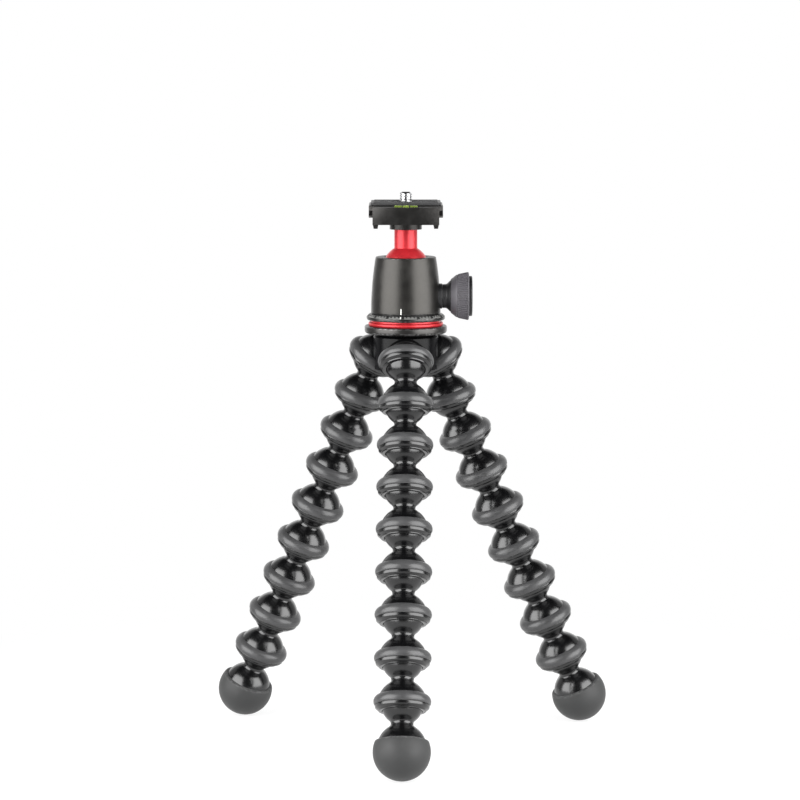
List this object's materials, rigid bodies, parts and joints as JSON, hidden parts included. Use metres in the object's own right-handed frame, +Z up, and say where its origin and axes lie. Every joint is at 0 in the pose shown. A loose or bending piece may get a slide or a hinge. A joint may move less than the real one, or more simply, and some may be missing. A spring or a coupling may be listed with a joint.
{
  "type": "flexible leg tripod",
  "caption": "Flexible tripod with bendable legs of rubber-ringed ball-and-socket links, under a panning ball head with a side lock knob and a lever clamp that holds a camera plate.",
  "frame": {"origin": "centre of the feet's box on the floor, at floor height", "axes": "+Z up, -Y towards the viewer and the front leg, +X to the lock knob's side"},
  "size_m": [0.2088, 0.1816, 0.286],
  "materials": {
    "link_plastic": "glossy black moulded plastic",
    "ring_rubber": "satin dark-grey rubber",
    "foot_rubber": "matte dark-grey rubber",
    "plate_metal": "satin dark-grey anodised",
    "housing_metal": "satin warm dark-grey anodised",
    "red_metal": "satin red anodised",
    "knob_plastic": "fine matte black",
    "grip_rubber": "finely ribbed grey rubber",
    "pad_rubber": "matte black rubber",
    "steel": "turned",
    "acetal": "ivory, slick",
    "wedge_brass": "machined",
    "vial_glass": "clear with a green fluid"
  },
  "bodies": {
    "stand": {"hub_body": "link_plastic", "hub_rings": "ring_rubber", "hub_stud": "steel", "platform": "plate_metal", "accent_ring": "red_metal", "pan_base": "plate_metal", "pan_washer": "acetal", "pan_clip": "steel"},
    "front_link_1": {"front_link_1": "link_plastic"},
    "front_link_2": {"front_link_2": "link_plastic"},
    "front_link_3": {"front_link_3": "link_plastic"},
    "front_link_4": {"front_link_4": "link_plastic"},
    "front_link_5": {"front_link_5": "link_plastic"},
    "front_link_6": {"front_link_6": "link_plastic"},
    "front_link_7": {"front_link_7": "link_plastic"},
    "front_link_8": {"front_link_8": "link_plastic"},
    "front_foot": {"front_foot": "link_plastic", "front_foot_cap": "foot_rubber"},
    "left_link_1": {"left_link_1": "link_plastic"},
    "left_link_2": {"left_link_2": "link_plastic"},
    "left_link_3": {"left_link_3": "link_plastic"},
    "left_link_4": {"left_link_4": "link_plastic"},
    "left_link_5": {"left_link_5": "link_plastic"},
    "left_link_6": {"left_link_6": "link_plastic"},
    "left_link_7": {"left_link_7": "link_plastic"},
    "left_link_8": {"left_link_8": "link_plastic"},
    "left_foot": {"left_foot": "link_plastic", "left_foot_cap": "foot_rubber"},
    "right_link_1": {"right_link_1": "link_plastic"},
    "right_link_2": {"right_link_2": "link_plastic"},
    "right_link_3": {"right_link_3": "link_plastic"},
    "right_link_4": {"right_link_4": "link_plastic"},
    "right_link_5": {"right_link_5": "link_plastic"},
    "right_link_6": {"right_link_6": "link_plastic"},
    "right_link_7": {"right_link_7": "link_plastic"},
    "right_link_8": {"right_link_8": "link_plastic"},
    "right_foot": {"right_foot": "link_plastic", "right_foot_cap": "foot_rubber"},
    "head": {"housing": "housing_metal", "housing_floor": "steel", "ball_seat": "acetal", "brake_wedge": "wedge_brass"},
    "lock_knob": {"lock_screw": "steel", "knob_core": "knob_plastic", "knob_grip": "grip_rubber", "knob_cap": "knob_plastic"},
    "ball": {"ball_stem": "red_metal"},
    "clamp": {"clamp_base": "plate_metal", "clamp_jaw": "plate_metal", "stem_screw": "steel", "guide_pins": "steel", "level_vial": "vial_glass", "pull_rod": "steel", "lever_pin": "steel"},
    "lever": {"clamp_lever": "knob_plastic"},
    "plate": {"camera_plate": "plate_metal", "plate_pad": "pad_rubber"},
    "camera_screw": {"camera_screw": "steel"}
  },
  "joints": [
    {"name": "front_joint_1", "type": "hinge", "parent": "stand", "child": "front_link_1", "pos_m": [-0.0032, 0.00511, 0.199], "axis": [-0.9997, 0.0262, 0], "range_deg": [-13, 44]},
    {"name": "front_joint_2", "type": "hinge", "parent": "front_link_1", "child": "front_link_2", "pos_m": [-0.0034, -0.00248, 0.17814], "axis": [-0.0239, -0.9111, 0.4115], "range_deg": [-28, 28]},
    {"name": "front_joint_3", "type": "hinge", "parent": "front_link_2", "child": "front_link_3", "pos_m": [-0.00364, -0.01162, 0.1579], "axis": [0.9997, -0.0262, 0], "range_deg": [-28, 28]},
    {"name": "front_joint_4", "type": "hinge", "parent": "front_link_3", "child": "front_link_4", "pos_m": [-0.00388, -0.02075, 0.13767], "axis": [0.0239, 0.9111, -0.4115], "range_deg": [-28, 28]},
    {"name": "front_joint_5", "type": "hinge", "parent": "front_link_4", "child": "front_link_5", "pos_m": [-0.00412, -0.02988, 0.11744], "axis": [-0.9997, 0.0262, 0], "range_deg": [-28, 28]},
    {"name": "front_joint_6", "type": "hinge", "parent": "front_link_5", "child": "front_link_6", "pos_m": [-0.00436, -0.03901, 0.09721], "axis": [-0.0239, -0.9111, 0.4115], "range_deg": [-28, 28]},
    {"name": "front_joint_7", "type": "hinge", "parent": "front_link_6", "child": "front_link_7", "pos_m": [-0.00459, -0.04815, 0.07697], "axis": [0.9997, -0.0262, 0], "range_deg": [-28, 28]},
    {"name": "front_joint_8", "type": "hinge", "parent": "front_link_7", "child": "front_link_8", "pos_m": [-0.00483, -0.05728, 0.05674], "axis": [0.0239, 0.9111, -0.4115], "range_deg": [-28, 28]},
    {"name": "front_joint_9", "type": "hinge", "parent": "front_link_8", "child": "front_foot", "pos_m": [-0.00507, -0.06641, 0.03651], "axis": [-0.9997, 0.0262, 0], "range_deg": [-28, 28]},
    {"name": "left_joint_1", "type": "hinge", "parent": "stand", "child": "left_link_1", "pos_m": [-0.02009, 0.03436, 0.199], "axis": [0.515, 0.8572, 0], "range_deg": [-14, 44]},
    {"name": "left_joint_2", "type": "hinge", "parent": "left_link_1", "child": "left_link_2", "pos_m": [-0.02691, 0.03846, 0.17827], "axis": [-0.7819, 0.4698, 0.4098], "range_deg": [-28, 28]},
    {"name": "left_joint_3", "type": "hinge", "parent": "left_link_2", "child": "left_link_3", "pos_m": [-0.03471, 0.04314, 0.15802], "axis": [-0.515, -0.8572, 0], "range_deg": [-28, 28]},
    {"name": "left_joint_4", "type": "hinge", "parent": "left_link_3", "child": "left_link_4", "pos_m": [-0.0425, 0.04783, 0.13777], "axis": [0.7819, -0.4698, -0.4098], "range_deg": [-28, 28]},
    {"name": "left_joint_5", "type": "hinge", "parent": "left_link_4", "child": "left_link_5", "pos_m": [-0.0503, 0.05251, 0.11752], "axis": [0.515, 0.8572, 0], "range_deg": [-28, 28]},
    {"name": "left_joint_6", "type": "hinge", "parent": "left_link_5", "child": "left_link_6", "pos_m": [-0.0581, 0.0572, 0.09727], "axis": [-0.7819, 0.4698, 0.4098], "range_deg": [-28, 28]},
    {"name": "left_joint_7", "type": "hinge", "parent": "left_link_6", "child": "left_link_7", "pos_m": [-0.0659, 0.06189, 0.07702], "axis": [-0.515, -0.8572, 0], "range_deg": [-28, 28]},
    {"name": "left_joint_8", "type": "hinge", "parent": "left_link_7", "child": "left_link_8", "pos_m": [-0.0737, 0.06657, 0.05677], "axis": [0.7819, -0.4698, -0.4098], "range_deg": [-28, 28]},
    {"name": "left_joint_9", "type": "hinge", "parent": "left_link_8", "child": "left_foot", "pos_m": [-0.0815, 0.07126, 0.03652], "axis": [0.515, 0.8572, 0], "range_deg": [-28, 28]},
    {"name": "right_joint_1", "type": "hinge", "parent": "stand", "child": "right_link_1", "pos_m": [0.01369, 0.03436, 0.199], "axis": [0.342, -0.9397, 0], "range_deg": [-9, 46]},
    {"name": "right_joint_2", "type": "hinge", "parent": "right_link_1", "child": "right_link_2", "pos_m": [0.01979, 0.03658, 0.17777], "axis": [0.8545, 0.311, 0.416], "range_deg": [-28, 28]},
    {"name": "right_joint_3", "type": "hinge", "parent": "right_link_2", "child": "right_link_3", "pos_m": [0.02847, 0.03974, 0.15758], "axis": [-0.342, 0.9397, 0], "range_deg": [-28, 28]},
    {"name": "right_joint_4", "type": "hinge", "parent": "right_link_3", "child": "right_link_4", "pos_m": [0.03714, 0.0429, 0.13739], "axis": [-0.8545, -0.311, -0.416], "range_deg": [-28, 28]},
    {"name": "right_joint_5", "type": "hinge", "parent": "right_link_4", "child": "right_link_5", "pos_m": [0.04582, 0.04605, 0.11721], "axis": [0.342, -0.9397, 0], "range_deg": [-28, 28]},
    {"name": "right_joint_6", "type": "hinge", "parent": "right_link_5", "child": "right_link_6", "pos_m": [0.0545, 0.04921, 0.09702], "axis": [0.8545, 0.311, 0.416], "range_deg": [-28, 28]},
    {"name": "right_joint_7", "type": "hinge", "parent": "right_link_6", "child": "right_link_7", "pos_m": [0.06318, 0.05237, 0.07683], "axis": [-0.342, 0.9397, 0], "range_deg": [-28, 28]},
    {"name": "right_joint_8", "type": "hinge", "parent": "right_link_7", "child": "right_link_8", "pos_m": [0.07186, 0.05553, 0.05664], "axis": [-0.8545, -0.311, -0.416], "range_deg": [-28, 28]},
    {"name": "right_joint_9", "type": "hinge", "parent": "right_link_8", "child": "right_foot", "pos_m": [0.08054, 0.05869, 0.03646], "axis": [0.342, -0.9397, 0], "range_deg": [-28, 28]},
    {"name": "pan", "type": "hinge", "parent": "stand", "child": "head", "pos_m": [-0.0032, 0.02461, 0.2234], "axis": [0, 0, 1], "continuous": true},
    {"name": "tilt", "type": "hinge", "parent": "head", "child": "ball", "pos_m": [-0.0032, 0.02461, 0.2464], "axis": [-1, 0, 0], "range_deg": [-30, 90]},
    {"name": "spin", "type": "hinge", "parent": "ball", "child": "clamp", "pos_m": [-0.0032, 0.02461, 0.2667], "axis": [0, 0, 1], "continuous": true},
    {"name": "lock_knob_turn", "type": "hinge", "parent": "head", "child": "lock_knob", "pos_m": [-0.0032, 0.02461, 0.232], "axis": [-1, 0, 0], "range_deg": [0, 270]},
    {"name": "lever_swing", "type": "hinge", "parent": "clamp", "child": "lever", "pos_m": [-0.0032, 0.05331, 0.2719], "axis": [0, 0, 1], "range_deg": [0, 100]},
    {"name": "plate_slide", "type": "slide", "parent": "clamp", "child": "plate", "axis": [1, 0, 0], "range_m": [-0.006, 0.006]},
    {"name": "camera_screw_turn", "type": "hinge", "parent": "plate", "child": "camera_screw", "pos_m": [-0.0032, 0.02461, 0.2809], "axis": [0, 0, 1], "continuous": true}
  ]
}
